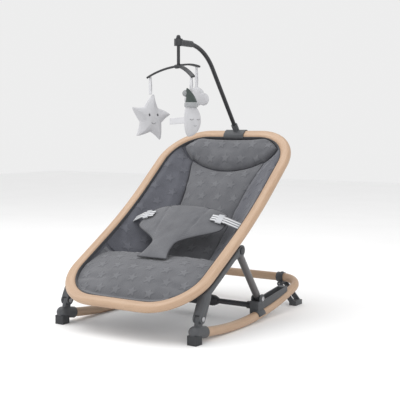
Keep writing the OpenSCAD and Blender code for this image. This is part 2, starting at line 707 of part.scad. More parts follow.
// ---- mobile ----
bow_lean = 127;
bow_tip_len = 50;
clamp_half = 35;
clamp_t = 3;
socket_r = bow_d / 2 + 3.5;
socket_len = 18;
bow_back = 11; // the bow stands this far behind the middle of the ring
bow_root = along(along(ring_head, head_tilt, bow_back), head_tilt + 90, ring_t / 2 + clamp_t);
bend_reach = bow_reach - bow_tip_len;
bow_arc_r = (bend_reach * sin(bow_lean) + bow_rise * cos(bow_lean)) / (1 + cos(bow_lean));
bow_straight = (bow_rise - bow_arc_r * (1 + cos(bow_lean))) / sin(bow_lean);
bow_end = bow_root + [-bend_reach, bow_rise];
post_y = bow_end[0] - bow_tip_len;
module mobile_clamp() {
    color(plastic) placed() difference() {
        union() {
            translate([0, ring_head[0], ring_head[1]]) rotate([head_tilt, 0, 0])
                rotate([90, 0, 90]) linear_extrude(2 * clamp_half, center = true)
                    stadium(ring_w + 2 * clamp_t, ring_t + 2 * clamp_t);
            translate([0, bow_root[0], bow_root[1]]) rotate([bow_lean - 90, 0, 0])
                translate([0, 0, -4]) cylinder(r = socket_r, h = socket_len + 4);
        }
        translate([0, ring_head[0], ring_head[1]]) rotate([head_tilt, 0, 0]) {
            rotate([90, 0, 90]) linear_extrude(3 * clamp_half, center = true)
                stadium(ring_w, ring_t);
            // open below and inside, so that it snaps over the ring and clears the cloth
            translate([-2 * clamp_half, -ring_w, -2 * ring_t])
                cube([4 * clamp_half, 1.5 * ring_w - 4, 2 * ring_t + 0.5]);
        }
        translate([0, bow_root[0], bow_root[1]]) rotate([bow_lean - 90, 0, 0])
            translate([0, 0, 1]) cylinder(d = bow_d + 2 * pin_gap, h = socket_len);
    }
}
module mobile_bow() {
    arc = [for (a = span(bow_lean, 180, 14)) [[0, bow_end[0] + bow_arc_r * sin(a),
        bow_end[1] - bow_arc_r - bow_arc_r * cos(a)], [0, cos(a), sin(a)], [0, sin(a), -cos(a)]]];
    start = along(bow_root, bow_lean, 1 + gap);
    color("black") placed() swept([for (f = concat([[[0, start[0], start[1]], arc[0][1], arc[0][2]]], arc))
        hoop(f[0], f[1], f[2], bow_d, 16)]);
}
tip_r = bow_d / 2 + 2.75;
tip_boss = tip_r + 0.6;
post_d = 9;
module bow_tip() {
    color("black") placed() difference() {
        union() {
            translate([0, bow_end[0] + 14, bow_end[1]]) rotate([90, 0, 0])
                cylinder(r = tip_r, h = bow_tip_len + 14);
            translate([0, post_y, bow_end[1] - tip_boss]) cylinder(r = tip_r + 3, h = 2 * tip_boss);
        }
        // the bore is wide enough for the last of the bow's curve
        translate([0, bow_end[0] + 20, bow_end[1]]) rotate([90, 0, 0])
            cylinder(d = bow_d + 1.4, h = 20);
        translate([0, post_y, bow_end[1] - 4 * tip_r])
            cylinder(d = post_d + 2 * pin_gap, h = 8 * tip_r);
    }
}
hub_z = bow_end[1] - post_len;
module hanger_post() {
    color("black") placed() {
        translate([0, post_y, hub_z]) cylinder(d = post_d, h = post_len + tip_boss + 3);
        translate([0, post_y, bow_end[1] + tip_boss + 5]) sphere(r = 6);
        translate([0, post_y, bow_end[1] + tip_boss + gap]) cylinder(d = post_d + 5, h = 3);
    }
}
hanger_turn = 26;
hanger_tilt = 15;
hanger_r = hanger_arm / sin(hanger_turn);
arm_angles = [207, 327, 87];
hang_share = 0.88;
// point under an arm, at its share of the arm's length
function arm_point(a, share) = let (t = hanger_turn * share, r = hanger_r * sin(t),
        z = -hanger_r * (1 - cos(t)), x = r * cos(a), y = r * sin(a))
    [x, post_y - origin_y + y * cos(hanger_tilt) - z * sin(hanger_tilt),
        hub_z - 3 + y * sin(hanger_tilt) + z * cos(hanger_tilt)];
module hanger() {
    color("black") translate([0, post_y - origin_y, hub_z - 3]) rotate([hanger_tilt, 0, 0]) difference() {
        union() {
            for (a = arm_angles) rotate([0, 0, a]) translate([0, 0, -hanger_r]) rotate([90, 0, 0])
                rotate([0, 0, 90 - hanger_turn]) bent(hanger_r, hanger_turn) square([5, 11], center = true);
            translate([0, 0, -5]) cylinder(r = 11, h = 9);
        }
        rotate([-hanger_tilt, 0, 0]) translate([0, 0, 3]) cylinder(d = post_d + 2 * pin_gap, h = 40);
    }
}
star_at = arm_point(arm_angles[0], hang_share);
moon_at = arm_point(arm_angles[1], hang_share);
cloud_at = arm_point(arm_angles[2], hang_share);
ribbon_w = 9;
ribbon_t = 1.2;
ribbon_clear = 8; // the ribbons start this far under the arms, to swing clear of them
star_drop = 48;
moon_drop = 42;
cloud_drop = 60;
module ribbon(p, drop) {
    color("white") translate([p[0] - ribbon_w / 2, p[1] - ribbon_t / 2, p[2] - drop])
        cube([ribbon_w, ribbon_t, drop - ribbon_clear]);
}
module star_ribbon() { ribbon(star_at, star_drop); }
module moon_ribbon() { ribbon(moon_at, moon_drop); }
module cloud_ribbon() { ribbon(cloud_at, cloud_drop); }
star_t = 30;
module star_toy() {
    big = star_h / 1.81;
    color(plush) translate([star_at[0], star_at[1], star_at[2] - star_drop - big]) rotate([0, 0, 72])
        rotate([90, 0, 0]) linear_extrude(star_t, center = true)
            polygon([for (i = [0:9]) (i % 2 == 0 ? big : 0.5 * big) * [sin(36 * i), cos(36 * i)]]);
}
moon_t = 30;
// a crescent that bulges to one side, cut flat under its cap
module moon_toy() {
    color(plush) translate([moon_at[0], moon_at[1], moon_at[2] - moon_drop - 38 - moon_h / 2])
        rotate([0, 0, 62]) rotate([90, 0, 0]) linear_extrude(moon_t, center = true)
            polygon(concat([for (a = span(0, 150, 12)) [34 * sin(a) - 8, -moon_h / 2 * cos(a)]],
                [for (a = span(150, 8, 12)) [-8 - 11 * sin(a), -moon_h / 2 * cos(a)]]));
}
cap_z = moon_at[2] - moon_drop;
module moon_brim() {
    color("silver") translate([moon_at[0], moon_at[1], cap_z - 44]) cylinder(r = 16, h = 10);
}
module moon_cap() {
    color("darkslategray") translate([moon_at[0], moon_at[1], cap_z - 34])
        cylinder(r1 = 15, r2 = 5, h = 33);
}
module moon_pompom() {
    color("darkgray") translate([moon_at[0] - 13, moon_at[1] - 8, cap_z - 8]) sphere(r = 8);
}
module moon_tag() {
    color("white") translate([moon_at[0] - 56, moon_at[1] - 22, cap_z - 92]) cube([34, 1, 17]);
}
cloud_t = 26;
module cloud_toy() {
    color(plush) translate([cloud_at[0], cloud_at[1], cloud_at[2] - cloud_drop - 27])
        rotate([90, 0, 0]) linear_extrude(cloud_t, center = true) {
            circle(r = 27);
            for (s = [-1, 1]) translate([s * 24, -8]) circle(r = 18);
        }
}

base_rod();
elbow_left();
elbow_right();
foot_left();
foot_right();
leg_pins();
rail_left();
rail_right();
rail_screws();
ear_bolts();
crossbar();
release_grip();
lock_slide_left();
lock_slide_right();
stand_collar_left();
stand_collar_right();
stand_pins();
stand_left();
stand_right();
ring();
leg_left();
leg_right();
hub_left();
hub_right();
hub_pins();
strut_left();
strut_right();
strut_foot_left();
strut_foot_right();
seat_sling();
seat_cushion();
back_pad();
bolster_left();
bolster_right();
head_pillow();
waist_panel();
strap_left();
strap_right();
buckle_left();
buckle_right();
mobile_clamp();
mobile_bow();
bow_tip();
hanger_post();
hanger();
star_toy();
star_ribbon();
moon_toy();
moon_cap();
moon_brim();
moon_pompom();
moon_tag();
moon_ribbon();
cloud_toy();
cloud_ribbon();
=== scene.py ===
# Rocking baby bouncer: a wood ring with a padded cloth seat on a folding base, and a toy mobile.
# Metres, +Z up, +Y towards the child's head, origin on the floor under the middle of the seat.
import math

import bpy
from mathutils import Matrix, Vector, noise
from mathutils.kdtree import KDTree


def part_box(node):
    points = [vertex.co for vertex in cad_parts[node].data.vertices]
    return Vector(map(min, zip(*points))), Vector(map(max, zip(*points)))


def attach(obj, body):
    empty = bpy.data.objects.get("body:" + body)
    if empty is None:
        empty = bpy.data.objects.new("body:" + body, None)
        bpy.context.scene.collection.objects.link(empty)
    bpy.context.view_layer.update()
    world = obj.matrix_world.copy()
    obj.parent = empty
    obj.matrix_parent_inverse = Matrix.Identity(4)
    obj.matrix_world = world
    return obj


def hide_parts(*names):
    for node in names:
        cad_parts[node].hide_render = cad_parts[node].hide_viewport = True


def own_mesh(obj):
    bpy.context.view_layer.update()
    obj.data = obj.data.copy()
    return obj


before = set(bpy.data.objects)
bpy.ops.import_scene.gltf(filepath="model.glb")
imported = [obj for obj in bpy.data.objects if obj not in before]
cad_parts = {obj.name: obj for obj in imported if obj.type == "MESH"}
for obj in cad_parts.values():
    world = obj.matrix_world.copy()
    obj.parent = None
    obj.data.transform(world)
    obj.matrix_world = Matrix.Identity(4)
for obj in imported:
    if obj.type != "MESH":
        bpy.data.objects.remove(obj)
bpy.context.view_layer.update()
bpy.ops.object.select_all(action="DESELECT")

# ---- Camera, floor and lights ----
# A plain photographer's sweep: the seat stands on a pale floor under two large soft boxes,
# seen from in front and a little above the ring, from the child's left side.
view_side = math.radians(33.39)
view_rise = math.radians(4.76)
back = Vector((math.sin(view_side) * math.cos(view_rise), -math.cos(view_side) * math.cos(view_rise),
               math.sin(view_rise)))
camera = bpy.data.objects.new("camera", bpy.data.cameras.new("camera"))
bpy.context.scene.collection.objects.link(camera)
camera.location = (1.402, -2.0449, 0.537)
camera.rotation_euler = (-back).to_track_quat("-Z", "Y").to_euler()
camera.data.lens = 78.96
bpy.context.scene.camera = camera
bpy.context.scene.view_settings.view_transform = "Standard"


def soft_box(name, place, aim, size, watts):
    """A square studio light at place, turned towards aim."""
    light = bpy.data.objects.new(name, bpy.data.lights.new(name, "AREA"))
    bpy.context.scene.collection.objects.link(light)
    light.location = place
    light.rotation_euler = (Vector(aim) - Vector(place)).to_track_quat("-Z", "Y").to_euler()
    light.data.size = size
    light.data.energy = watts


soft_box("top_light", (-0.5, -0.4, 2.6), (0, 0, 0.3), 2.4, 34)
soft_box("front_light", (2.2, -2.2, 1.5), (0, 0, 0.3), 1.8, 16)
soft_box("side_light", (-2.4, -1.0, 1.2), (0, 0, 0.3), 1.6, 10)
world = bpy.data.worlds.new("studio")
bpy.context.scene.world = world
world.use_nodes = True
world.node_tree.nodes["Background"].inputs["Color"].default_value = (1, 1, 1, 1)
world.node_tree.nodes["Background"].inputs["Strength"].default_value = 0.85


class Shade:
    """A value or colour in a material. The usual operators on it add Math nodes."""

    def __init__(self, tree, socket=None):
        self.tree = tree
        self.socket = socket

    def add(self, kind, settings=None, inputs=None, out=0):
        """Any node, by type, with its settings and the values or links of its sockets."""
        node = self.tree.nodes.new("ShaderNode" + kind)
        for name, value in (settings or {}).items():
            if name == "stops":
                ramp = node.color_ramp.elements
                while len(ramp) < len(value):
                    ramp.new(0.5)
                for stop, (place, colour) in zip(ramp, value):
                    stop.position = place
                    stop.color = (*colour, 1)
            else:
                setattr(node, name, value)
        for key, value in (inputs or {}).items():
            if isinstance(value, Shade):
                self.tree.links.new(value.socket, node.inputs[key])
            else:
                node.inputs[key].default_value = value
        return Shade(self.tree, node.outputs[out])

    def sum(self, operation, first, second=0.0):
        return self.add("Math", {"operation": operation}, {0: first, 1: second})

    def __add__(self, other):
        return self.sum("ADD", self, other)

    def __sub__(self, other):
        return self.sum("SUBTRACT", self, other)

    def __rsub__(self, other):
        return self.sum("SUBTRACT", other, self)

    def __mul__(self, other):
        return self.sum("MULTIPLY", self, other)

    __radd__ = __add__
    __rmul__ = __mul__

    def smooth(self, low, high):
        """0 below low, 1 above high, and a soft step between."""
        return self.add("MapRange", {"interpolation_type": "SMOOTHSTEP"}, {0: self, 1: low, 2: high})

    def between(self, colour_a, colour_b):
        """colour_a where this is 0, colour_b where it is 1."""
        sides = [c if isinstance(c, Shade) else (*c, 1) for c in (colour_a, colour_b)]
        return self.add("Mix", {"data_type": "RGBA"}, {0: self, 6: sides[0], 7: sides[1]}, 2)

    def noise(self, place, scale, detail=2.0, rough=0.5):
        return self.add("TexNoise", None, {"Vector": place, "Scale": scale, "Detail": detail,
                                           "Roughness": rough})

    def stretched(self, place, scale):
        """The place with each axis scaled, for a pattern that is longer one way."""
        return self.add("Mapping", None, {"Vector": place, "Scale": scale})

    def bump(self, height, distance, strength=1.0):
        return self.add("Bump", None, {"Height": height, "Distance": distance, "Strength": strength})

    def feed(self, surface, socket):
        self.tree.links.new(self.socket, surface.inputs[socket])


def new_finish(name, **fixed):
    """A material with its fixed shader values: the material, an empty Shade in it, and its shader."""
    material = bpy.data.materials.new(name)
    material.use_nodes = True
    surface = material.node_tree.nodes["Principled BSDF"]
    for socket, value in fixed.items():
        surface.inputs[socket.replace("_", " ")].default_value = value
    return material, Shade(material.node_tree), surface


bpy.ops.mesh.primitive_plane_add(size=12)
floor = bpy.context.object
floor.name = "studio_floor"
floor_paint, at, surface = new_finish("floor_paint", Roughness=0.8)
grain = at.noise(at.add("TexCoord", out=3), 3.0)
grain.between((0.92, 0.92, 0.92), (0.96, 0.96, 0.96)).feed(surface, "Base Color")
floor.data.materials.append(floor_paint)


# ---- Base rod ----
# The rocking base is one steel tube with a wood-grain film, bent in two long arcs and two corners.
# Its seam lies underneath, and both ends are plugged into the front elbows.
rod_d = 0.025
front_foot_y = -0.272868
base_half_w = 0.218
rocker_r = 1.074
rocker_y = front_foot_y + 0.201
runner_end_y = front_foot_y + 0.521
corner_r = 0.064
rod_front_y = front_foot_y + 0.014
front_swing = math.asin((rocker_y - rod_front_y) / rocker_r)
rear_swing = math.asin((runner_end_y - rocker_y) / rocker_r)
rocker_centre = Vector((base_half_w, rocker_y, rod_d / 2 + rocker_r))
rod_out = Vector((0, math.cos(rear_swing), math.sin(rear_swing)))
rod_up = Vector((0, -math.sin(rear_swing), math.cos(rear_swing)))
corner_centre = rocker_centre + rocker_r * Vector((0, math.sin(rear_swing), -math.cos(rear_swing)))
corner_centre.x -= corner_r


def deselected():
    bpy.ops.object.mode_set(mode="OBJECT") if bpy.context.mode != "OBJECT" else None
    bpy.ops.object.select_all(action="DESELECT")


def settled(name):
    """Names the active object and puts its place into its mesh."""
    bpy.ops.object.mode_set(mode="OBJECT")
    bpy.ops.object.transform_apply(location=True, rotation=True, scale=True)
    piece = bpy.context.object
    piece.name = name
    piece.data.name = name
    return piece


def modify(piece, kind, **settings):
    """Adds a modifier with its settings and applies it."""
    deselected()
    bpy.context.view_layer.objects.active = piece
    piece.select_set(True)
    modifier = piece.modifiers.new(kind.lower(), kind)
    for name, value in settings.items():
        setattr(modifier, name, value)
    bpy.ops.object.modifier_apply(modifier=modifier.name)


def closed_mirror(piece):
    """Mirrors the half across the middle, merging it where it meets there, and turns all faces out."""
    deselected()
    bpy.context.view_layer.objects.active = piece
    piece.select_set(True)
    modify(piece, "MIRROR", use_clip=True, merge_threshold=1e-5)
    bpy.ops.object.mode_set(mode="EDIT")
    bpy.ops.mesh.select_all(action="SELECT")
    bpy.ops.mesh.remove_doubles(threshold=1e-6)
    bpy.ops.mesh.normals_make_consistent(inside=False)
    bpy.ops.object.mode_set(mode="OBJECT")


def lay_along(piece, line, up, lift=0.0):
    """A map along a rod: u runs down its length, v round it from underneath, both in metres."""
    tree = KDTree(len(line))
    for i, point in enumerate(line):
        tree.insert(point, i)
    tree.balance()
    run = [0.0]
    for a, b in zip(line, line[1:]):
        run.append(run[-1] + (b - a).length)
    uv = piece.data.uv_layers.new(name="grain")
    for face in piece.data.polygons:
        spots = []
        for loop in face.loop_indices:
            co = piece.data.vertices[piece.data.loops[loop].vertex_index].co
            i = tree.find(co)[1]
            ahead = (line[min(i + 1, len(line) - 1)] - line[max(i - 1, 0)]).normalized()
            off = co - line[i]
            side = ahead.cross(up(line[i]))
            turn = math.atan2(off.dot(side), off.dot(side.cross(ahead)))
            spots.append([run[i] + off.dot(ahead), turn * rod_d / 2])
        top = max(s[1] for s in spots)
        far = max(s[0] for s in spots)
        for loop, spot in zip(face.loop_indices, spots):
            spot[1] += math.pi * rod_d if top - spot[1] > rod_d else 0
            spot[0] += run[-1] if far - spot[0] > run[-1] / 2 else 0
            uv.data[loop].uv = spot


start = rocker_centre + rocker_r * Vector((0, -math.sin(front_swing), -math.cos(front_swing)))
bpy.ops.mesh.primitive_circle_add(vertices=36, radius=rod_d / 2, location=start,
                                  rotation=(math.pi / 2 - front_swing, 0, 0))
bpy.ops.object.transform_apply(location=True, rotation=True)
bpy.ops.object.mode_set(mode="EDIT")
bpy.ops.mesh.select_all(action="SELECT")
bpy.ops.mesh.spin(steps=48, angle=-front_swing - rear_swing, center=rocker_centre, axis=(1, 0, 0))
bpy.ops.mesh.spin(steps=20, angle=-math.pi / 2, center=corner_centre, axis=rod_up)
bpy.ops.mesh.extrude_region_move(TRANSFORM_OT_translate={"value": (-(base_half_w - corner_r), 0, 0)})
rod = settled("wood_base_rod")
closed_mirror(rod)
arc = [rocker_centre + rocker_r * Vector((0, math.sin(a), -math.cos(a)))
       for a in [-front_swing + (front_swing + rear_swing) * i / 80 for i in range(81)]]
bend = [corner_centre + corner_r * (math.cos(a) * Vector((1, 0, 0)) + math.sin(a) * rod_out)
        for a in [math.pi / 2 * i / 30 for i in range(1, 31)]]
straight = [Vector((bend[-1].x * (1 - i / 12), bend[-1].y, bend[-1].z)) for i in range(1, 13)]
half_line = arc + bend + straight
rod_line = half_line + [Vector((-p.x, p.y, p.z)) for p in reversed(half_line[:-1])]
lay_along(rod, rod_line, lambda p: rod_up)

beech, at, surface = new_finish("beech_film", Coat_Weight=0.12, Coat_Roughness=0.35)
along = at.add("UVMap", {"uv_map": "grain"})
figure = at.noise(at.stretched(along, (5, 60, 1)), 1.0, 4.0, 0.55)
streak = at.noise(at.stretched(along, (18, 420, 1)), 1.0, 3.0, 0.6)
pores = at.noise(at.stretched(along, (160, 1500, 1)), 1.0, 1.0).smooth(0.62, 0.72)
tone = (figure * 0.62 + streak * 0.38).smooth(0.3, 0.7)
light_wood = (0.52, 0.365, 0.25)
dark_wood = (0.41, 0.268, 0.172)
pore_wood = (0.31, 0.19, 0.115)
(pores * 0.55).between(tone.between(light_wood, dark_wood), pore_wood).feed(surface, "Base Color")
(0.42 + tone * 0.1 + pores * 0.1).feed(surface, "Roughness")
at.bump(streak * 0.6 - pores, 0.00012, 0.5).feed(surface, "Normal")
rod.data.materials.append(beech)
bpy.ops.object.shade_smooth()
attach(rod, "base")
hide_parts("base_rod")


# ---- Mouldings of the base and the legs ----
# Glass-filled nylon, fine spark-eroded matte, moulded in halves with softly broken edges:
# front elbows, leg arms, hubs, rails, stand collars and the two U-shaped stands.
def softened(node, name, body, slot, finish, edge=0.0008, angle=0.6):
    """A copy of a CAD node with its triangles merged and its edges broken by edge metres."""
    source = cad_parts[node]
    piece = bpy.data.objects.new(name, source.data.copy())
    bpy.context.scene.collection.objects.link(piece)
    deselected()
    bpy.context.view_layer.objects.active = piece
    piece.select_set(True)
    bpy.ops.object.mode_set(mode="EDIT")
    bpy.ops.mesh.select_all(action="SELECT")
    bpy.ops.mesh.remove_doubles(threshold=1e-5)
    bpy.ops.mesh.dissolve_limited(angle_limit=0.02)
    bpy.ops.object.mode_set(mode="OBJECT")
    if edge:
        modify(piece, "BEVEL", width=edge, segments=2, limit_method="ANGLE", angle_limit=angle)
    bpy.ops.object.shade_smooth_by_angle(angle=0.6)
    piece.data.materials.clear()
    piece.data.materials.append(finish)
    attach(piece, body)
    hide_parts(node)
    return piece


def moulded_plastic(name, colour, shine, texture):
    """Matte plastic: a fine even texture, faint flow marks and slightly polished high spots."""
    material, at, surface = new_finish(name)
    place = at.add("TexCoord", out=3)
    cloudy = at.noise(place, 22.0, 3.0)
    fine = at.noise(place, 2600.0, 2.0)
    lighter = [c * 1.22 + 0.004 for c in colour]
    (cloudy * 0.6 + fine * 0.4).smooth(0.3, 0.7).between(colour, lighter).feed(surface, "Base Color")
    (shine + cloudy * 0.12).feed(surface, "Roughness")
    at.bump(fine, texture).feed(surface, "Normal")
    return material


charcoal = moulded_plastic("charcoal_nylon", (0.052, 0.055, 0.06), 0.42, 0.00006)
for side in ("left", "right"):
    softened("elbow_" + side, "front_elbow_" + side, "base", "moulding", charcoal, 0.001)
    softened("rail_" + side, "strut_rail_" + side, "base", "moulding", charcoal, 0.0006)
    softened("stand_collar_" + side, "rear_collar_" + side, "base", "moulding", charcoal, 0.0006)
    softened("stand_" + side, "rear_stand_" + side, "stand_" + side + "_body", "moulding", charcoal)
    softened("leg_" + side, "leg_arm_" + side, "seat", "moulding", charcoal, 0.002)
    softened("hub_" + side, "fold_hub_" + side, "seat", "moulding", charcoal, 0.0008)


# ---- Feet ----
# Square blocks of thermoplastic rubber pushed over the elbows, so the front of the base can't slip.
# Slightly dusty on the faces, with a rounded edge all round.
foot_rubber = moulded_plastic("foot_rubber", (0.028, 0.03, 0.033), 0.68, 0.00015)
for side in ("left", "right"):
    softened("foot_" + side, "rubber_foot_" + side, "base", "foot_rubber", foot_rubber, 0.0022)


# ---- Struts and crossbar ----
# Powder-coated steel tube: two round struts pinned in the hubs, and the bar that ties the rails.
# The coat has a light orange-peel surface.
def powder_coat(name, colour, shine):
    """Baked powder coat: an orange-peel surface with a clear gloss over a dark colour."""
    material, at, surface = new_finish(name, Coat_Weight=0.2, Coat_Roughness=0.25)
    place = at.add("TexCoord", out=3)
    peel = at.noise(place, 900.0, 1.0)
    drift = at.noise(place, 14.0, 2.0)
    drift.between(colour, [c * 1.25 for c in colour]).feed(surface, "Base Color")
    (shine + drift * 0.1).feed(surface, "Roughness")
    at.bump(peel, 0.00008).feed(surface, "Normal")
    return material


strut_coat = powder_coat("strut_coat", (0.085, 0.08, 0.082), 0.32)
bar_coat = powder_coat("bar_coat", (0.03, 0.031, 0.034), 0.38)
for side in ("left", "right"):
    softened("strut_" + side, "strut_tube_" + side, "struts", "strut_steel", strut_coat, 0.0004)
softened("crossbar", "tie_bar", "base", "black_steel", bar_coat, 0.0004)


# ---- Grip, locks and strut feet ----
# Black injection mouldings: the ribbed grip turns on the crossbar and draws a bolt at each end,
# and each strut ends in a ball foot that slides in its rail.
black_plastic = moulded_plastic("black_nylon", (0.022, 0.023, 0.026), 0.4, 0.00005)
softened("release_grip", "turning_grip", "grip", "black_plastic", black_plastic, 0.0006)
for side in ("left", "right"):
    softened("lock_slide_" + side, "lock_bolt_" + side, "lock_" + side, "black_plastic",
             black_plastic, 0.0004)
    softened("strut_foot_" + side, "strut_ball_" + side, "struts", "black_plastic", black_plastic, 0)
softened("hub_pins", "hub_caps", "seat", "black_plastic", black_plastic, 0.0006)


# ---- Pins, screws and bolts ----
# Zinc-plated steel: leg pivots, ear bolts, rail screws and the stands' pins.
# Drawn wire, so the shine is fine and cloudy.
zinc, at, surface = new_finish("zinc_plate", Metallic=1.0)
cloud = at.noise(at.add("TexCoord", out=3), 260.0, 3.0)
cloud.between((0.36, 0.36, 0.37), (0.52, 0.52, 0.54)).feed(surface, "Base Color")
(0.3 + cloud * 0.2).feed(surface, "Roughness")
for node in ("leg_pins", "ear_bolts", "rail_screws", "stand_pins"):
    softened(node, "zinc_" + node, "base", "fastener", zinc, 0.0003)


# ---- Ring ----
# The same film-covered tube in an oval section, bent to a long rounded rectangle with a slight
# bend below the middle, so that the head end rises more steeply than the foot end.
ring_len = 0.736
ring_w = 0.031
ring_t = 0.022
ring_half_w = base_half_w - 0.004
ring_foot_r = 0.130
ring_head_r = 0.126
ring_tilt = 31.0
ring_bend = 9.0
bend_start = 0.257
bend_len = 0.250
bend_r = bend_len / math.radians(ring_bend)


def away(p, degrees, d):
    return Vector((p[0] + d * math.cos(math.radians(degrees)), p[1] + d * math.sin(math.radians(degrees))))


foot_end = Vector((front_foot_y - 0.042, 0.087))
bend_low = away(foot_end, ring_tilt, bend_start)
bend_centre = away(bend_low, ring_tilt + 90, bend_r)
bend_high = away(bend_centre, ring_tilt + ring_bend - 90, bend_r)


def on_ring(x, v, n):
    """The point x across, v along the ring's slope from the foot end and n above its plane."""
    turn = ring_tilt + ring_bend * min(max((v - bend_start) / bend_len, 0), 1)
    if v < bend_start:
        p = away(away(foot_end, ring_tilt, v), turn + 90, n)
    elif v < bend_start + bend_len:
        p = away(bend_centre, turn - 90, bend_r - n)
    else:
        p = away(away(bend_high, turn, v - bend_start - bend_len), turn + 90, n)
    return Vector((x, p[0], p[1]))


foot_corner = Vector((ring_half_w - ring_foot_r, ring_foot_r, 0))
head_corner = Vector((ring_half_w - ring_head_r, ring_len - ring_head_r, 0))
bpy.ops.mesh.primitive_circle_add(vertices=32, radius=ring_t / 2, rotation=(0, math.pi / 2, 0))
bpy.ops.object.transform_apply(rotation=True)
for v in bpy.context.object.data.vertices:
    v.co.y += math.copysign((ring_w - ring_t) / 2, v.co.y) if abs(v.co.y) > 1e-4 else 0
bpy.ops.object.mode_set(mode="EDIT")
bpy.ops.mesh.select_all(action="SELECT")


def push(x, y, steps):
    """Extrudes the open end by x, y in equal steps."""
    for _ in range(steps):
        bpy.ops.mesh.extrude_region_move(TRANSFORM_OT_translate={"value": (x / steps, y / steps, 0)})


push(foot_corner.x, 0, 2)
bpy.ops.mesh.spin(steps=24, angle=-math.pi / 2, center=foot_corner, axis=(0, 0, 1))
push(0, bend_start - ring_foot_r, 3)
push(0, bend_len, 14)
push(0, head_corner.y - bend_start - bend_len, 3)
bpy.ops.mesh.spin(steps=24, angle=-math.pi / 2, center=head_corner, axis=(0, 0, 1))
push(-head_corner.x, 0, 2)
ring = settled("wood_ring")
closed_mirror(ring)
for v in ring.data.vertices:
    v.co = on_ring(*v.co)


def ring_line(inset, n, count):
    """Points round the ring's right half at inset inside its axis and n above it, foot to head."""
    flat = [(foot_corner.x * i / count, inset) for i in range(count)]
    for centre, r, first in ((foot_corner, ring_foot_r, -90), (head_corner, ring_head_r, 0)):
        for i in range(count + 1):
            a = math.radians(first + 90 * i / count)
            flat.append((centre.x + (r - inset) * math.cos(a), centre.y + (r - inset) * math.sin(a)))
        if first < 0:
            flat += [(ring_half_w - inset, ring_foot_r + (head_corner.y - ring_foot_r) * i / (2 * count))
                     for i in range(1, 2 * count)]
    flat += [(head_corner.x * (1 - i / count), ring_len - inset) for i in range(1, count + 1)]
    return [on_ring(x, v, n) for x, v in flat]


right_line = ring_line(0, 0, 20)
loop_line = right_line + [Vector((-p.x, p.y, p.z)) for p in reversed(right_line[1:-1])]
plane_up = Vector((0, -math.sin(math.radians(35)), math.cos(math.radians(35))))
lay_along(ring, loop_line + [loop_line[0]], lambda p: plane_up)
deselected()
bpy.context.view_layer.objects.active = ring
ring.select_set(True)
bpy.ops.object.shade_smooth()
ring.data.materials.append(beech)
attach(ring, "seat")
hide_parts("ring")


# ---- Sling ----
# One panel of lined melange cloth, hemmed over the ring's inner edge and stretched on it.
# It hangs in a bucket shape: deepest at the crease between the seat and the back.
edge_in = ring_w / 2
crease = 0.292
sling_depth = 0.092
cloth_t = 0.003
rim_n = -0.003


def ramp(t):
    t = min(max(t, 0.0), 1.0)
    return t * t * (3 - 2 * t)


def half_inside(v):
    """Half the width inside the ring at distance v along it."""
    if v < ring_foot_r:
        return foot_corner.x + math.sqrt(max(0, (ring_foot_r - edge_in) ** 2 - (ring_foot_r - v) ** 2))
    if v > head_corner.y:
        return head_corner.x + math.sqrt(max(0, (ring_head_r - edge_in) ** 2 - (v - head_corner.y) ** 2))
    return ring_half_w - edge_in


def sling_top(u, v):
    """Height of the cloth's upper face above the ring's plane, at share u of the half width."""
    if v < crease:
        depth = sling_depth * max(0, math.sin(math.pi / 2 * (v - edge_in) / (crease - edge_in))) ** 0.8
    else:
        rest = max(0, (v - crease) / (ring_len - edge_in - crease))
        depth = sling_depth * (1 - 0.66 * rest) * max(0, 1 - rest ** 9) ** 0.5
    return rim_n + cloth_t / 2 - depth * max(0, 1 - abs(u) ** 3.2) ** 0.6


def eased(t):
    return (1 - math.cos(math.pi * t)) / 2


def melange(name, dark, light, weave_size=0.0011, sheen=0.25):
    """Knitted cloth of two yarns: flecked along the thread, with a fine rib and a soft sheen.
    It lies on the piece's own cloth map, and the stars pressed into it are paler and smoother, with painted
    shade darkening the cloth along each star's pressed edge."""
    material, at, surface = new_finish(name, Sheen_Weight=sheen, Sheen_Roughness=0.5)
    surface.inputs["Specular IOR Level"].default_value = 0.2
    cloth = at.add("UVMap", {"uv_map": "cloth"})
    star = at.add("Attribute", {"attribute_name": "star"}, out=2)
    fleck = at.noise(at.stretched(cloth, (1.0, 2.6, 1)), 0.9 / weave_size, 2.0)
    cloudy = at.noise(cloth, 28.0, 3.0)
    broad = at.noise(cloth, 7.0, 2.0)
    mix = (fleck * 0.62 + cloudy * 0.2 + broad * 0.18).smooth(0.34, 0.66)
    pale = [c * 1.5 + 0.015 for c in light]
    # Painted shade: a dark line along each star's edge stands in for the shade at its pressed step.
    star_edge_painted_shade = star * (1.0 - star) * 4.0
    shade = (star * 0.15).between(mix.between(dark, light), pale)
    (star_edge_painted_shade * 0.3).between(shade, [c * 0.5 for c in dark]).feed(surface, "Base Color")
    (0.86 - star * 0.14 - fleck * 0.06).feed(surface, "Roughness")
    rib = at.add("TexWave", {"bands_direction": "X"}, {"Vector": cloth, "Scale": 0.32 / weave_size,
                                                       "Distortion": 0.6}, 1)
    folds = at.bump(at.noise(at.stretched(cloth, (1.0, 0.6, 1)), 24.0, 2.5), 0.006, 0.4)
    height = fleck * 0.6 + rib * 0.4 * (1.0 - star * 0.6)
    at.add("Bump", None, {"Height": height, "Distance": 0.00035, "Strength": 0.55,
                          "Normal": folds}).feed(surface, "Normal")
    return material


seat_cloth = melange("seat_cloth", (0.088, 0.09, 0.1), (0.155, 0.158, 0.17))
side_cloth = melange("side_cloth", (0.07, 0.072, 0.086), (0.12, 0.124, 0.145))


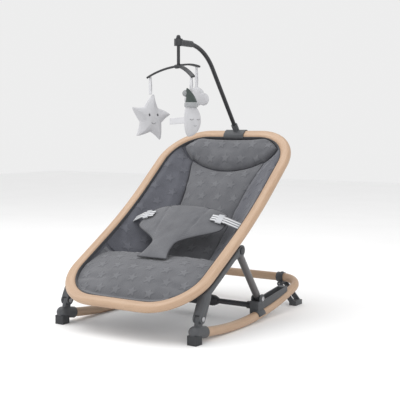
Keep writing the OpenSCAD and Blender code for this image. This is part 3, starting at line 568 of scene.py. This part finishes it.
def gridded(name, columns, rows, place, thick):
    """A grid of cloth laid by place(a, b, top), a across and b along from 0 to 1. A thick one
    gets a second layer joined round its rim. Its cloth map is place's second result."""
    bpy.ops.mesh.primitive_grid_add(x_subdivisions=columns, y_subdivisions=rows, size=1,
                                    location=(0.5, 0.5, 0))
    bpy.ops.object.transform_apply(location=True)
    if thick:
        bpy.ops.object.mode_set(mode="EDIT")
        bpy.ops.mesh.select_all(action="SELECT")
        bpy.ops.mesh.extrude_region_move(TRANSFORM_OT_translate={"value": (0, 0, 1)})
        bpy.ops.mesh.select_all(action="SELECT")
        bpy.ops.mesh.normals_make_consistent(inside=False)
    piece = settled(name)
    spots = [place(v.co.x, v.co.y, v.co.z > 0.5) for v in piece.data.vertices]
    uv = piece.data.uv_layers.new(name="cloth") if not piece.data.uv_layers else piece.data.uv_layers[0]
    uv.name = "cloth"
    for loop in piece.data.loops:
        uv.data[loop.index].uv = spots[loop.vertex_index][1]
    held = [v.index for v in piece.data.vertices
            if v.co.z < 0.5 or min(v.co.x, 1 - v.co.x, v.co.y, 1 - v.co.y) < 1e-4]
    for v, spot in zip(piece.data.vertices, spots):
        v.co = spot[0]
    return piece, held


def dressed(piece, finish, body, slot_name, *nodes):
    """Gives a finished soft piece its cloth, its body and the nodes it stands for; slot_name is not used.
    """
    deselected()
    bpy.context.view_layer.objects.active = piece
    piece.select_set(True)
    bpy.ops.object.shade_smooth()
    piece.data.materials.append(finish)
    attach(piece, body)
    if nodes:
        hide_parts(*nodes)


def stars_at(x, y):
    """How far inside a star of the staggered pattern this place on the cloth is, from 0 to 1."""
    row = round(y / 0.046)
    column = round(x / 0.054 - 0.5 * (row % 2)) + 0.5 * (row % 2)
    dx, dy = x - column * 0.054, y - row * 0.046
    fifth = 2 * math.pi / 5
    turn = abs((math.atan2(dx, dy) + fifth / 2) % fifth - fifth / 2)
    tip, notch = 0.0165, 0.0165 * 0.46
    edge = tip * notch * math.sin(fifth / 2) / (notch * math.sin(fifth / 2 - turn) + tip * math.sin(turn))
    return min(max((edge - math.hypot(dx, dy)) / 0.0016 + 0.5, 0), 1)


def swelled(piece, held, pressure, cap):
    """Fills a pad by cloth simulation with its underside and rim held, then smooths it finer."""
    piece.vertex_groups.new(name="held").add(held, 1, "REPLACE")
    rest = [v.co.copy() for v in piece.data.vertices]
    cloth = piece.modifiers.new("swell", "CLOTH")
    cloth.settings.quality = 6
    cloth.settings.vertex_group_mass = "held"
    cloth.settings.use_pressure = True
    cloth.settings.uniform_pressure_force = pressure
    cloth.settings.tension_stiffness = 12
    cloth.settings.compression_stiffness = 12
    cloth.settings.bending_stiffness = 0.3
    cloth.settings.effector_weights.gravity = 0
    for frame_number in range(1, 21):
        bpy.context.scene.frame_set(frame_number)
    deselected()
    bpy.context.view_layer.objects.active = piece
    piece.select_set(True)
    bpy.ops.object.modifier_apply(modifier="swell")
    bpy.context.scene.frame_set(1)
    for v, start in zip(piece.data.vertices, rest):
        moved = v.co - start
        v.co = start + moved * min(1, cap / max(moved.length, 1e-9))
    piece.vertex_groups.clear()
    modify(piece, "SUBSURF", levels=2, render_levels=2)


def starred(piece, up, raise_by=0.0011):
    """Presses the star pattern into the side of a pad that faces up, and marks it for its cloth."""
    flat = [(0.0, 0.0)] * len(piece.data.vertices)
    for loop in piece.data.loops:
        flat[loop.vertex_index] = piece.data.uv_layers["cloth"].uv[loop.index].vector
    mark = piece.data.attributes.new("star", "FLOAT", "POINT")
    shares = [stars_at(*flat[v.index]) if v.normal.dot(up) > 0.25 else 0.0 for v in piece.data.vertices]
    mark.data.foreach_set("value", shares)
    moves = [v.normal * raise_by * share for v, share in zip(piece.data.vertices, shares)]
    for v, move in zip(piece.data.vertices, moves):
        v.co += move


pad_gap = 0.0026
pad_min = 0.0015
seat_up = Vector((0, -math.sin(math.radians(35)), math.cos(math.radians(35))))


def plump(t):
    """Share of a pad's full thickness at t across it, from 0 to 1: flat-topped with round edges."""
    return max(0, 1 - abs(2 * t - 1) ** 5) ** 0.45


def pad(name, columns, rows, spot, thick, cap, node):
    """A pad on the sling, from spot(a, b), which gives its u and v, and its thickness in the middle."""
    def place(a, b, top):
        u, v = spot(eased(a), eased(b))
        n = sling_top(u, v) + pad_gap
        if top:
            n += pad_min + thick * plump(eased(a)) * plump(eased(b))
        x = u * half_inside(v)
        return on_ring(x, v, n), (x, v)
    piece, held = gridded(name, columns, rows, place, True)
    swelled(piece, held, 3.5, cap)
    starred(piece, seat_up)
    finish, slot_name = (side_cloth, "side_cloth") if "bolster" in node else (seat_cloth, "seat_cloth")
    dressed(piece, finish, "seat", slot_name, node)
    flattens(piece)
    return piece


fold_anchor = on_ring(0, 0.15, 0)


def flattens(piece):
    """Gives the piece its own copy of its mesh."""
    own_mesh(piece)


def sling_place(a, b, top):
    u = 2 * eased(a) - 1
    v = edge_in + eased(b) * (ring_len - 2 * edge_in)
    x = u * half_inside(v)
    return on_ring(x, v, sling_top(u, v)), (x, v)


sling, held = gridded("cloth_sling", 64, 96, sling_place, False)
modify(sling, "SOLIDIFY", thickness=cloth_t * 0.8, offset=-1)
dressed(sling, side_cloth, "seat", "side_cloth", "seat_sling")
flattens(sling)

# The tape that binds the cloth round the ring: a dark piping along the ring's inner edge, laid in
# one closed line and rounded.
bpy.ops.mesh.primitive_torus_add(major_segments=192, minor_segments=12, major_radius=1,
                                 minor_radius=0.25)
right_edge = ring_line(ring_w / 2, 0, 24)
half = len(right_edge) - 1
for v in bpy.context.object.data.vertices:
    turn = math.atan2(v.co.x, -v.co.y)
    place = abs(turn) / math.pi * half
    step = min(int(place), half - 1)
    point = right_edge[step].lerp(right_edge[step + 1], place - step)
    ahead = (right_edge[step + 1] - right_edge[step]).normalized()
    up = Vector((0, -math.sin(math.radians(35)), math.cos(math.radians(35))))
    inward = up.cross(ahead).normalized()
    out = (math.hypot(v.co.x, v.co.y) - 1) / 0.25
    point = point - inward * out * -0.0014 + up * (0.0012 + 0.0052 * v.co.z / 0.25)
    v.co = (math.copysign(point.x, turn), point.y, point.z)
tape = settled("binding_tape")
binding, at, surface = new_finish("binding", Sheen_Weight=0.2)
place = at.add("TexCoord", out=3)
fleck = at.noise(place, 900.0, 2.0)
fleck.between((0.028, 0.029, 0.034), (0.06, 0.062, 0.07)).feed(surface, "Base Color")
surface.inputs["Roughness"].default_value = 0.85
at.bump(fleck, 0.0002).feed(surface, "Normal")
dressed(tape, binding, "seat", "side_cloth")

# ---- Pads ----
# Seat cushion, back panel, side bolsters and head pillow: each its own crowned pad with its rim
# sewn down, swelled by cloth simulation, with the stars pressed into its upper side.


def seam_u(v):
    """The seam between the back panel and the bolsters, as a share of the half width."""
    return 0.5 + 0.16 * min(max((v - 0.44) / 0.205, 0), 1) ** 2


def arc_top(u):
    """The seam under the head pillow, along the ring."""
    if abs(u) > 0.66:
        return 0.645 + 0.035 * (abs(u) - 0.66) / 0.29
    return 0.617 + 0.028 * (u / 0.6) ** 2


def back_spot(a, b):
    v = 0.262 + b * (arc_top((2 * a - 1) * 0.62) - 0.003 - 0.262)
    return (2 * a - 1) * (seam_u(v) - 0.006), v


def bolster_spot(side):
    def spot(a, b):
        a = a if side > 0 else 1 - a
        v = 0.242 + b * (arc_top(0.66 + 0.3 * a) - 0.003 - 0.242)
        inner = seam_u(v) + 0.006
        return side * (inner + a * (0.995 - inner)), v
    return spot


def pillow_spot(a, b):
    u = (2 * a - 1) * 0.95
    low = arc_top(u) + 0.002
    return u, low + b * (ring_len - edge_in - 0.004 - low)


pad("back_panel", 36, 44, back_spot, 0.012, 0.006, "back_pad")
for side, name in ((-1, "left"), (1, "right")):
    pad("side_bolster_" + name, 18, 50, bolster_spot(side), 0.011, 0.006, "bolster_" + name)
pad("head_pillow_pad", 60, 20, pillow_spot, 0.021, 0.007, "head_pillow")

cushion_front = edge_in + 0.005
cushion_back = crease - 0.058
waist_front = cushion_back - 0.046


def cushion_high(u, v):
    """Height of the seat cushion's upper side."""
    s = (v - cushion_front) / (cushion_back - cushion_front)
    crown = 2 + 9 * math.sin(math.radians(150 * s)) - 26 * s ** 4 - 8 * abs(u) ** 3
    return crown / 1000 - 0.012 * (1 - min(6 * s, 1)) ** 2


def cushion_place(a, b, top):
    u, v = 0.985 * (2 * eased(a) - 1), cushion_front - 0.003 + eased(b) * (cushion_back - cushion_front)
    low = sling_top(u, v) + pad_gap
    x = u * half_inside(v)
    if top:
        dent = 0.008 * math.exp(-(x / 0.05) ** 2 - ((v - waist_front - 0.008) / 0.03) ** 2)
        low = max(low + pad_min, cushion_high(u, v) - 0.004 - dent)
    return on_ring(x, v, low), (x, v)


cushion, held = gridded("cushion_pad", 60, 36, cushion_place, True)
swelled(cushion, held, 2.5, 0.005)
starred(cushion, seat_up)
dressed(cushion, seat_cloth, "seat", "seat_cloth", "seat_cushion")
flattens(cushion)

# ---- Waist panel and straps ----
# The padded panel that comes up from the seat and spreads into two wings, with a piped rim, then
# the webbing from each wing to the side, with its ladder lock.
waist_run = 0.223
waist_t = 0.009


def waist_half(s):
    """Half the panel's width at share s of its length, from the seat up."""
    stem = 0.036 + 0.012 * (1 - min(s / 0.22, 1)) ** 2
    return stem + 0.104 * ramp((s - 0.27) / 0.42) - 0.012 * ramp((s - 0.86) / 0.14)


def waist_low(x, s):
    return cushion_high(0, waist_front) + 0.0015 + 0.006 * s - 0.020 * (x / 0.14) ** 2 * s


def waist_place(a, b, top):
    s, across = eased(b), 2 * eased(a) - 1
    x = across * waist_half(s)
    v = waist_front + waist_run * s - 0.012 * abs(across) ** 4 * ramp((s - 0.8) / 0.2)
    n = waist_low(x, s)
    if top:
        n += 0.0015 + (waist_t - 0.004) * plump(eased(a)) * plump(eased(b))
        crease_line = (abs(x) - 0.038 - 0.030 * s) / 0.0035
        n -= 0.0035 * math.exp(-crease_line ** 2) * ramp((s - 0.3) / 0.2)
    return on_ring(x, v, n), (x, v)


waist, held = gridded("waist_pad", 64, 40, waist_place, True)
swelled(waist, held, 2.0, 0.0025)
dressed(waist, seat_cloth, "seat", "seat_cloth", "waist_panel")
flattens(waist)


def tube(name, points, radius, closed=False):
    """A round tube along points, as a mesh."""
    bpy.ops.curve.primitive_bezier_curve_add()
    piece = bpy.context.object
    piece.data.splines.clear()
    line = piece.data.splines.new("POLY")
    line.points.add(len(points) - 1)
    for spot, point in zip(line.points, points):
        spot.co = (*point, 1)
    line.use_cyclic_u = closed
    piece.data.bevel_depth = radius
    piece.data.bevel_resolution = 3
    piece.data.use_fill_caps = True
    bpy.ops.object.convert(target="MESH")
    return settled(name)


def rim_point(a, b):
    return (waist_place(a, b, False)[0] + waist_place(a, b, True)[0]) / 2


edge = [rim_point(0, i / 60) for i in range(60)] + [rim_point(i / 60, 1) for i in range(60)]
edge += [rim_point(1, 1 - i / 60) for i in range(60)] + [rim_point(1 - i / 60, 0) for i in range(60)]
piping = tube("waist_piping", edge, 0.0017, True)
dressed(piping, binding, "seat", "seat_cloth")
flattens(piping)

webbing, at, surface = new_finish("striped_webbing", Roughness=0.7, Sheen_Weight=0.3)
cloth = at.add("UVMap", {"uv_map": "cloth"})
bands = at.add("TexWave", {"bands_direction": "X"}, {"Vector": cloth, "Scale": 38.0}, 1)
ribs = at.add("TexWave", {"bands_direction": "Y"}, {"Vector": cloth, "Scale": 260.0}, 1)
bands.smooth(0.35, 0.65).between((0.2, 0.205, 0.22), (0.68, 0.69, 0.71)).feed(surface, "Base Color")
at.bump(ribs, 0.0002, 0.6).feed(surface, "Normal")
lock_grey = moulded_plastic("lock_grey", (0.42, 0.43, 0.45), 0.4, 0.00003)
strap_v = waist_front + 0.8 * waist_run
strap_edge = waist_half(0.8) + 0.002
strap_end = half_inside(strap_v) - 0.016, sling_top(0.9, strap_v) + 0.023


def strap_spot(t):
    """The strap's line as x and height: over the wing's top, round its edge and down to the side."""
    lift = waist_t + 0.0033
    over = [strap_edge - 0.044 * (1 - i / 10) for i in range(11)]
    line = [(x, waist_low(x, 0.8) + lift) for x in over]
    edge_x, edge_n = line[-1]
    line += [(edge_x + (strap_end[0] - edge_x) * i / 10, edge_n + (strap_end[1] - edge_n) * i / 10)
             for i in range(1, 11)]
    place = t * (len(line) - 1)
    step = min(int(place), len(line) - 2)
    return [p + (q - p) * (place - step) for p, q in zip(line[step], line[step + 1])]


for side, name in ((-1, "left"), (1, "right")):
    def strap_place(a, b, top):
        x, n = strap_spot(b)
        return on_ring(side * x, strap_v + 0.025 * (a - 0.5), n), (0.025 * a, 0.09 * b)
    strap, held = gridded("webbing_" + name, 6, 60, strap_place, False)
    modify(strap, "SOLIDIFY", thickness=0.0014, offset=0)
    dressed(strap, webbing, "seat", "webbing", "strap_" + name)
    flattens(strap)
    lock = softened("buckle_" + name, "ladder_lock_" + name, "seat", "buckle", lock_grey, 0.0008)
    flattens(lock)

# ---- Mobile frame ----
# The clamp on the ring's head end, the bent bow, its tip with the post, and the three-armed hanger.
for node, name, body, slot_name, finish in (
        ("mobile_clamp", "ring_clamp", "seat", "moulding", charcoal),
        ("mobile_bow", "bow_rod", "bow", "black_plastic", black_plastic),
        ("bow_tip", "bow_socket", "bow", "black_plastic", black_plastic),
        ("hanger_post", "turning_post", "hanger_body", "black_plastic", black_plastic),
        ("hanger", "hanger_arms", "hanger_body", "black_plastic", black_plastic)):
    softened(node, name, body, slot_name, finish, 0 if node == "mobile_bow" else 0.0008)

# ---- Star toy ----
# A stuffed five-armed star on its ribbon, its arms slightly bent, with a plain sewn face.


def plush(name, colour, pile=0.00035):
    """Short-pile cloth, softly mottled, with a pale sheen."""
    material, at, surface = new_finish(name, Roughness=0.95, Sheen_Weight=0.35, Sheen_Roughness=0.4)
    surface.inputs["Specular IOR Level"].default_value = 0.15
    place = at.add("TexCoord", out=3)
    nap = at.noise(place, 1500.0, 3.0)
    patch = at.noise(place, 60.0, 2.0)
    mottle = (nap * 0.6 + patch * 0.4).smooth(0.3, 0.7)
    mottle.between([c * 0.88 for c in colour], colour).feed(surface, "Base Color")
    folds = at.bump(at.noise(place, 70.0, 2.0), 0.004, 0.35)
    at.add("Bump", None, {"Height": nap, "Distance": pile, "Strength": 0.7,
                          "Normal": folds}).feed(surface, "Normal")
    return material


white_plush = plush("white_plush", (0.56, 0.56, 0.58))
thread, at, surface = new_finish("dark_thread", Roughness=0.6)
surface.inputs["Base Color"].default_value = (0.03, 0.032, 0.036, 1)


def stuffed(name, outline, high, thick, centre, turn, pull):
    """A stuffed toy: a ball drawn out to outline(angle) from its middle, facing turn degrees from
    the front, its seam held while the rest swells by cloth simulation."""
    bpy.ops.mesh.primitive_uv_sphere_add(segments=100, ring_count=24, radius=1)
    piece = settled(name)
    across = Vector((math.cos(math.radians(turn)), math.sin(math.radians(turn)), 0))
    face = Vector((math.sin(math.radians(turn)), -math.cos(math.radians(turn)), 0))
    seam = [v.index for v in piece.data.vertices if abs(v.co.z) < 1e-3]
    for v in piece.data.vertices:
        away_share = math.hypot(v.co.x, v.co.y)
        angle = math.atan2(v.co.x, v.co.y)
        reach = outline(angle) * away_share
        angle += pull * (reach / high) ** 2
        v.co = (centre + across * reach * math.sin(angle) + Vector((0, 0, reach * math.cos(angle)))
                + face * thick * v.co.z)
    swelled(piece, seam, 2.5, 0.004)
    return piece, across, face


def sewn_mark(name, toy, centre, across, face, line, radius, body):
    """A line of dark thread on a toy's face, through points right of and above its middle."""
    points = []
    for x, z in line:
        start = centre + across * x + Vector((0, 0, z)) + face * 0.1
        hit, place, normal, _ = toy.ray_cast(start, -face)
        points.append(place - face * radius * 0.3 if hit else start - face * 0.1)
    mark = tube(name, points, radius)
    dressed(mark, thread, body, "white_plush")


def star_outline(angle):
    fifth = 2 * math.pi / 5
    t = abs((angle + fifth / 2) % fifth - fifth / 2) / (fifth / 2)
    straight = 0.52 * math.sin(fifth / 2) / (
        0.52 * math.sin((1 - t) * fifth / 2) + math.sin(t * fifth / 2))
    return 0.0702 * (0.97 * straight + 0.03)


low, high = (Vector(c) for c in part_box("star_toy"))
star_middle = Vector(((low.x + high.x) / 2, (low.y + high.y) / 2, high.z - 0.0702))
star, across, face = stuffed("star_plush", star_outline, 0.0702, 0.016, star_middle, 72, 0.16)
dressed(star, white_plush, "star", "white_plush", "star_toy")
for name, x in (("left", -0.014), ("right", 0.014)):
    oval = [(x + 0.0016 * math.sin(i / 12 * 2 * math.pi), 0.009 + 0.0026 * math.cos(i / 12 * 2 * math.pi))
            for i in range(13)]
    sewn_mark("star_eye_" + name, star, star_middle, across, face, oval, 0.0013, "star")
sewn_mark("star_smile", star, star_middle, across, face,
          [(0.0075 * i / 8, -0.0155 + 0.0035 * (i / 8) ** 2) for i in range(-8, 9)], 0.0006, "star")

# ---- Moon toy ----
# A stuffed crescent with sleeping eyes under a night cap with a pale brim and a pompom, and a
# blank tag sewn in its side.
low, high = (Vector(c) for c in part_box("moon_toy"))
moon_half = (high.z - low.z) / 1.866
moon_middle = Vector(((low.x + high.x) / 2, (low.y + high.y) / 2, low.z + moon_half))
turn = math.radians(62)
across = Vector((math.cos(turn), math.sin(turn), 0))
face = Vector((math.sin(turn), -math.cos(turn), 0))
bpy.ops.mesh.primitive_uv_sphere_add(segments=64, ring_count=40, radius=1)
moon = settled("moon_plush")
seam = [v.index for v in moon.data.vertices if abs(v.co.y) < 1e-3]
for v in moon.data.vertices:
    swell = math.sqrt(max(0, 1 - v.co.z ** 2))
    v.co = (moon_middle + across * (0.0250 * v.co.x + 0.0125 * swell - 0.0125)
            + Vector((0, 0, moon_half * (0.97 * v.co.z + 0.08))) - face * 0.0145 * v.co.y)
swelled(moon, seam, 2.0, 0.003)
dressed(moon, white_plush, "moon", "white_plush", "moon_toy")
for name, x in (("left", -0.009), ("right", 0.011)):
    lash = [(x + 0.0048 * i / 8, 0.004 + 0.0026 * (i / 8) ** 2) for i in range(-8, 9)]
    sewn_mark("moon_eye_" + name, moon, moon_middle, across, face, lash, 0.0006, "moon")
sewn_mark("moon_smile", moon, moon_middle, across, face,
          [(0.001 + 0.0045 * i / 8, -0.0125 + 0.0022 * (i / 8) ** 2) for i in range(-8, 9)], 0.0005, "moon")


def knob(name, segments, rings, spot, finish, slot_name, *nodes):
    """A ball reshaped by spot(vertex), on the moon's body."""
    bpy.ops.mesh.primitive_uv_sphere_add(segments=segments, ring_count=rings, radius=1)
    piece = settled(name)
    for v in piece.data.vertices:
        v.co = spot(v.co.copy())
    dressed(piece, finish, "moon", slot_name, *nodes)
    return piece


brim_low, brim_high = (Vector(c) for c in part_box("moon_brim"))
cap_low = Vector(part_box("moon_cap")[0])
brim_middle = (brim_low + brim_high) / 2
cap_cloth = plush("cap_cloth", (0.07, 0.085, 0.08), 0.00015)
brim_cloth = plush("brim_cloth", (0.36, 0.37, 0.38), 0.0006)


def brim_spot(p):
    swell = math.copysign(abs(p.z) ** 0.6, p.z)
    wide = (1 - abs(p.z) ** 4) ** 0.3 if abs(p.z) < 1 else 0
    d = Vector((p.x, p.y, 0)).normalized() if p.x or p.y else Vector((0, 0, 0))
    return (brim_middle + across * d.x * 0.0195 * wide - face * d.y * 0.0165 * wide
            + Vector((0, 0, 0.0075 * swell)))


def cap_spot(p):
    t = (p.z + 1) / 2
    wide = 0.0175 * (1 - 0.75 * t ** 1.2) * (1 - t ** 8) ** 0.5 if 0 < t < 1 else 0
    d = Vector((p.x, p.y, 0)).normalized() if p.x or p.y else Vector((0, 0, 0))
    fold = 1 + 0.06 * math.sin(5 * math.atan2(p.y, p.x) + 9 * t) * t
    return (Vector((brim_middle.x, brim_middle.y, cap_low.z - 0.003 + 0.043 * t))
            + (across * d.x + face * d.y * -0.85) * wide * fold - across * 0.013 * t ** 2)


knob("cap_brim", 64, 32, brim_spot, brim_cloth, "brim_cloth", "moon_brim")
knob("night_cap", 64, 48, cap_spot, cap_cloth, "cap_cloth", "moon_cap")
low, high = (Vector(c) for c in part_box("moon_pompom"))
pompom_middle = (low + high) / 2
knob("cap_pompom", 96, 64, lambda p: pompom_middle + p * (0.0088 + 0.0009 * noise.noise(p * 9)
                                                          + 0.0006 * noise.noise(p * 23)),
     brim_cloth, "brim_cloth", "moon_pompom")
tag_low, tag_high = (Vector(c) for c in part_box("moon_tag"))

moon_seam = (moon_middle - across * 0.0225).xy.to_3d()


def tag_place(a, b, top):
    spot = Vector((tag_low.x, tag_low.y, 0)).lerp(moon_seam, a)
    spot.y += 0.0016 * math.sin(3 * a)
    spot.z = tag_low.z + (tag_high.z - tag_low.z) * b + 0.003 * a
    return spot, (0.04 * a, 0.017 * b)


ribbon_cloth, at, surface = new_finish("ribbon_satin", Roughness=0.5, Sheen_Weight=0.3)
cloth = at.add("UVMap", {"uv_map": "cloth"})
ribs = at.add("TexWave", {"bands_direction": "Y"}, {"Vector": cloth, "Scale": 300.0}, 1)
surface.inputs["Base Color"].default_value = (0.6, 0.6, 0.62, 1)
at.bump(ribs, 0.00015, 0.6).feed(surface, "Normal")
tag, held = gridded("blank_tag", 20, 10, tag_place, False)
modify(tag, "SOLIDIFY", thickness=0.0008, offset=0)
dressed(tag, ribbon_cloth, "moon", "ribbon", "moon_tag")

# ---- Cloud toy and ribbons ----
# The third toy, a small stuffed cloud, and the satin ribbons that the toys hang on, each folded
# double and a little wider where it is sewn into its toy.


def cloud_outline(angle):
    best = 0
    for x, z, r in ((0, 0, 0.027), (0.024, -0.008, 0.018), (-0.024, -0.008, 0.018)):
        along_ray = x * math.sin(angle) + z * math.cos(angle)
        inside = r * r - x * x - z * z + along_ray ** 2
        if inside > 0:
            best = max(best, along_ray + math.sqrt(inside))
    return best


low, high = (Vector(c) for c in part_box("cloud_toy"))
cloud_middle = Vector(((low.x + high.x) / 2, (low.y + high.y) / 2, high.z - 0.027))
cloud, across, face = stuffed("cloud_plush", cloud_outline, 0.042, 0.012, cloud_middle, 0, 0)
dressed(cloud, white_plush, "cloud", "white_plush", "cloud_toy")
for toy in ("star", "moon", "cloud"):
    low, high = (Vector(c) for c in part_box(toy + "_ribbon"))
    middle = (low + high) / 2
    for k, side in enumerate((-1, 1)):
        def ribbon_place(a, b, top):
            z = low.z - 0.004 + (high.z - low.z + 0.0085) * b
            wide = 0.0098 - 0.0028 * b
            bow = side * (0.0007 + 0.0016 * math.sin(math.pi * b) ** 2)
            return Vector((middle.x + wide * (a - 0.5), middle.y + bow, z)), (0.0098 * a, 0.05 * b)
        band, held = gridded(f"{toy}_ribbon_{'back' if k else 'front'}", 4, 40, ribbon_place, False)
        modify(band, "SOLIDIFY", thickness=0.0006, offset=0)
        dressed(band, ribbon_cloth, toy, "ribbon", *([toy + "_ribbon"] if not k else []))
